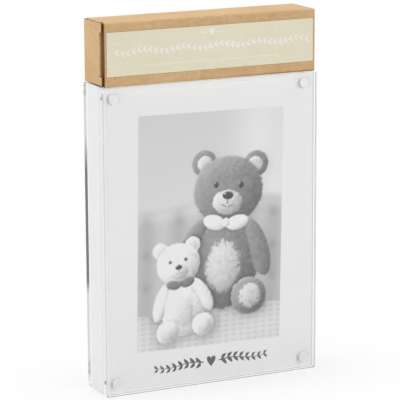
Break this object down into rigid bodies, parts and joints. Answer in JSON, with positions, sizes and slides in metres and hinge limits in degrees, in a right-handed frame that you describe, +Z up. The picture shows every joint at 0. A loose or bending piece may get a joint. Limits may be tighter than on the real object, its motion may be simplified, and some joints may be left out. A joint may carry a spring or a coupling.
{
  "type": "handprint photo frame",
  "caption": "Upright double-sided block frame with clear magnetic panes over a printed card and a handprint card, with its corrugated kit carton lying on top.",
  "frame": {"origin": "middle of the base, on the surface that the frame stands on", "axes": "+X to the right as seen from the front, +Y from the front pane towards the rear pane, +Z up"},
  "size_m": [0.15, 0.0306, 0.238],
  "materials": {
    "white_lacquer_block": "satin white lacquer on fibreboard",
    "clear_acrylic": "polished clear acrylic",
    "nickel_magnet": "nickel plate",
    "card_stock": "matte white card",
    "photo_paper": "satin black and white print",
    "art_paper": "matte art paper with an ink handprint",
    "kraft_board": "natural kraft corrugated board",
    "cream_label": "matte cream label paper",
    "ink_case": "moulded black case",
    "ink_felt": "ink-soaked felt"
  },
  "bodies": {
    "core": {"core_block": "white_lacquer_block", "core_front_magnet_base_left": "nickel_magnet", "core_front_magnet_base_right": "nickel_magnet", "core_front_magnet_top_left": "nickel_magnet", "core_front_magnet_top_right": "nickel_magnet", "core_rear_magnet_base_left": "nickel_magnet", "core_rear_magnet_base_right": "nickel_magnet", "core_rear_magnet_top_left": "nickel_magnet", "core_rear_magnet_top_right": "nickel_magnet"},
    "front_pane": {"front_pane": "clear_acrylic", "front_pane_magnet_base_left": "nickel_magnet", "front_pane_magnet_base_right": "nickel_magnet", "front_pane_magnet_top_left": "nickel_magnet", "front_pane_magnet_top_right": "nickel_magnet"},
    "rear_pane": {"rear_pane": "clear_acrylic", "rear_pane_magnet_base_left": "nickel_magnet", "rear_pane_magnet_base_right": "nickel_magnet", "rear_pane_magnet_top_left": "nickel_magnet", "rear_pane_magnet_top_right": "nickel_magnet"},
    "photo_card": {"photo_card": "card_stock"},
    "photo_print": {"photo_print": "photo_paper"},
    "handprint_card": {"handprint_card": "art_paper"},
    "carton": {"carton_label": "cream_label", "carton_sleeve": "kraft_board", "front_fluting": "kraft_board", "ink_felt": "ink_felt", "ink_tray": "ink_case"},
    "left_tuck_flap": {"left_tuck_flap": "kraft_board"},
    "right_tuck_flap": {"right_tuck_flap": "kraft_board"},
    "left_roof_dust_flap": {"left_roof_dust_flap": "kraft_board"},
    "left_floor_dust_flap": {"left_floor_dust_flap": "kraft_board"},
    "right_roof_dust_flap": {"right_roof_dust_flap": "kraft_board"},
    "right_floor_dust_flap": {"right_floor_dust_flap": "kraft_board"},
    "ink_lid": {"ink_lid": "ink_case"}
  },
  "joints": [
    {"name": "front_pane_pull", "type": "slide", "parent": "core", "child": "front_pane", "axis": [0, -1, 0], "range_m": [0, 0.06]},
    {"name": "rear_pane_pull", "type": "slide", "parent": "core", "child": "rear_pane", "axis": [0, 1, 0], "range_m": [0, 0.06]},
    {"name": "photo_card_slide", "type": "slide", "parent": "core", "child": "photo_card", "axis": [1, 0, 0], "range_m": [0, 0.152]},
    {"name": "photo_print_slide", "type": "slide", "parent": "photo_card", "child": "photo_print", "axis": [1, 0, 0], "range_m": [0, 0.13]},
    {"name": "handprint_card_slide", "type": "slide", "parent": "core", "child": "handprint_card", "axis": [-1, 0, 0], "range_m": [0, 0.152]},
    {"name": "carton_lift", "type": "slide", "parent": "core", "child": "carton", "axis": [0, 0, 1], "range_m": [0, 0.06]},
    {"name": "left_tuck_fold", "type": "hinge", "parent": "carton", "child": "left_tuck_flap", "pos_m": [-0.0732, 0.0142, 0.218], "axis": [0, 0, -1], "range_deg": [0, 120]},
    {"name": "right_tuck_fold", "type": "hinge", "parent": "carton", "child": "right_tuck_flap", "pos_m": [0.0732, 0.0142, 0.218], "axis": [0, 0, 1], "range_deg": [0, 120]},
    {"name": "left_roof_dust_fold", "type": "hinge", "parent": "carton", "child": "left_roof_dust_flap", "pos_m": [-0.0713, 0, 0.2372], "axis": [0, 1, 0], "range_deg": [0, 60]},
    {"name": "left_floor_dust_fold", "type": "hinge", "parent": "carton", "child": "left_floor_dust_flap", "pos_m": [-0.0713, 0, 0.1988], "axis": [0, -1, 0], "range_deg": [0, 60]},
    {"name": "right_roof_dust_fold", "type": "hinge", "parent": "carton", "child": "right_roof_dust_flap", "pos_m": [0.0713, 0, 0.2372], "axis": [0, -1, 0], "range_deg": [0, 60]},
    {"name": "right_floor_dust_fold", "type": "hinge", "parent": "carton", "child": "right_floor_dust_flap", "pos_m": [0.0713, 0, 0.1988], "axis": [0, 1, 0], "range_deg": [0, 60]},
    {"name": "ink_lid_lift", "type": "slide", "parent": "carton", "child": "ink_lid", "axis": [0, 0, 1], "range_m": [0, 0.018]}
  ],
  "couplings": [
    {"joint": "left_roof_dust_fold", "follows": "left_tuck_fold", "ratio": 0.5},
    {"joint": "left_floor_dust_fold", "follows": "left_tuck_fold", "ratio": 0.5},
    {"joint": "right_roof_dust_fold", "follows": "right_tuck_fold", "ratio": 0.5},
    {"joint": "right_floor_dust_fold", "follows": "right_tuck_fold", "ratio": 0.5}
  ]
}
